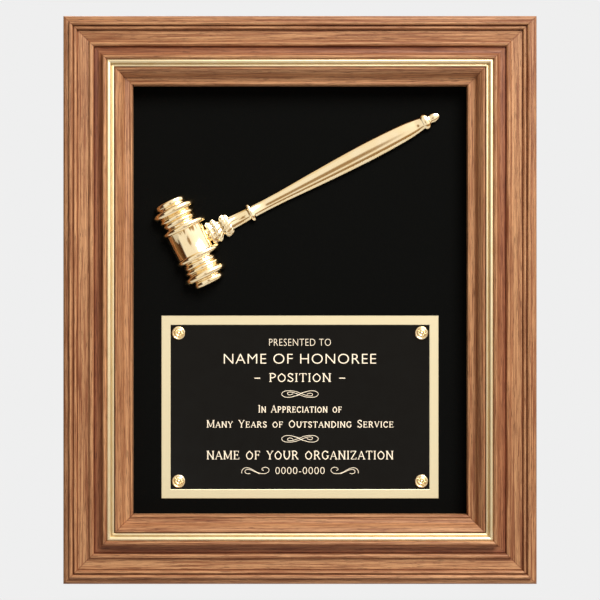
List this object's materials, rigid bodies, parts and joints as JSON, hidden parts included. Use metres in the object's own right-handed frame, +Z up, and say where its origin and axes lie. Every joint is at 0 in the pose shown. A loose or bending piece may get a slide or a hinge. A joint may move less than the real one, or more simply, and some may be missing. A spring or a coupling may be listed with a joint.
{
  "type": "award plaque",
  "caption": "Framed wall plaque: walnut moulding with a gold fillet around a black velour board, a gold relief gavel and a black engraving plate.",
  "frame": {"origin": "middle of the plane of the wall that the plaque hangs on", "axes": "+Z up, +X to a viewer's right, -Y away from the wall, towards the viewer"},
  "size_m": [0.3174, 0.0301, 0.381],
  "materials": {
    "walnut": "satin lacquer over open grain",
    "gold_leaf": "gold foil over a wooden strip",
    "black_velour": "short pile",
    "fibreboard": "bare medium-density fibreboard",
    "lacquered_brass": "black lacquer, brass bared at the border and lettering",
    "plated_brass": "polished",
    "gold_plate": "polished gold plate over a casting",
    "zinc_plated_steel": "bright zinc",
    "rubber": "matt"
  },
  "bodies": {
    "plaque": {"bottom_rail": "walnut", "bottom_gold_fillet": "gold_leaf", "bottom_slip": "walnut", "left_rail": "walnut", "left_gold_fillet": "gold_leaf", "left_slip": "walnut", "top_rail": "walnut", "top_gold_fillet": "gold_leaf", "top_slip": "walnut", "right_rail": "walnut", "right_gold_fillet": "gold_leaf", "right_slip": "walnut", "corner_v_nails": "zinc_plated_steel", "turn_button_screws": "zinc_plated_steel", "hanger_nails": "zinc_plated_steel", "sawtooth_hanger": "zinc_plated_steel", "wall_pad_bottom_left": "rubber", "wall_pad_top_left": "rubber", "wall_pad_bottom_right": "rubber", "wall_pad_top_right": "rubber", "display_board": "fibreboard", "velour_cover": "black_velour", "engraving_plate": "lacquered_brass", "rosette_tacks": "plated_brass", "gavel_head": "gold_plate", "gavel_handle": "gold_plate", "casting_screws": "zinc_plated_steel"},
    "turn_button_top_left": {"turn_button_top_left": "zinc_plated_steel"},
    "turn_button_top_right": {"turn_button_top_right": "zinc_plated_steel"},
    "turn_button_left": {"turn_button_left": "zinc_plated_steel"},
    "turn_button_right": {"turn_button_right": "zinc_plated_steel"},
    "turn_button_bottom_left": {"turn_button_bottom_left": "zinc_plated_steel"},
    "turn_button_bottom_right": {"turn_button_bottom_right": "zinc_plated_steel"}
  },
  "joints": [
    {"name": "turn_button_top_left_turn", "type": "hinge", "parent": "plaque", "child": "turn_button_top_left", "pos_m": [-0.07, -0.0028, 0.1785], "axis": [0, 1, 0], "continuous": true},
    {"name": "turn_button_top_right_turn", "type": "hinge", "parent": "plaque", "child": "turn_button_top_right", "pos_m": [0.07, -0.0028, 0.1785], "axis": [0, 1, 0], "continuous": true},
    {"name": "turn_button_left_turn", "type": "hinge", "parent": "plaque", "child": "turn_button_left", "pos_m": [-0.14675, -0.0028, 0], "axis": [0, 1, 0], "continuous": true},
    {"name": "turn_button_right_turn", "type": "hinge", "parent": "plaque", "child": "turn_button_right", "pos_m": [0.14675, -0.0028, 0], "axis": [0, 1, 0], "continuous": true},
    {"name": "turn_button_bottom_left_turn", "type": "hinge", "parent": "plaque", "child": "turn_button_bottom_left", "pos_m": [-0.07, -0.0028, -0.1785], "axis": [0, 1, 0], "continuous": true},
    {"name": "turn_button_bottom_right_turn", "type": "hinge", "parent": "plaque", "child": "turn_button_bottom_right", "pos_m": [0.07, -0.0028, -0.1785], "axis": [0, 1, 0], "continuous": true}
  ]
}
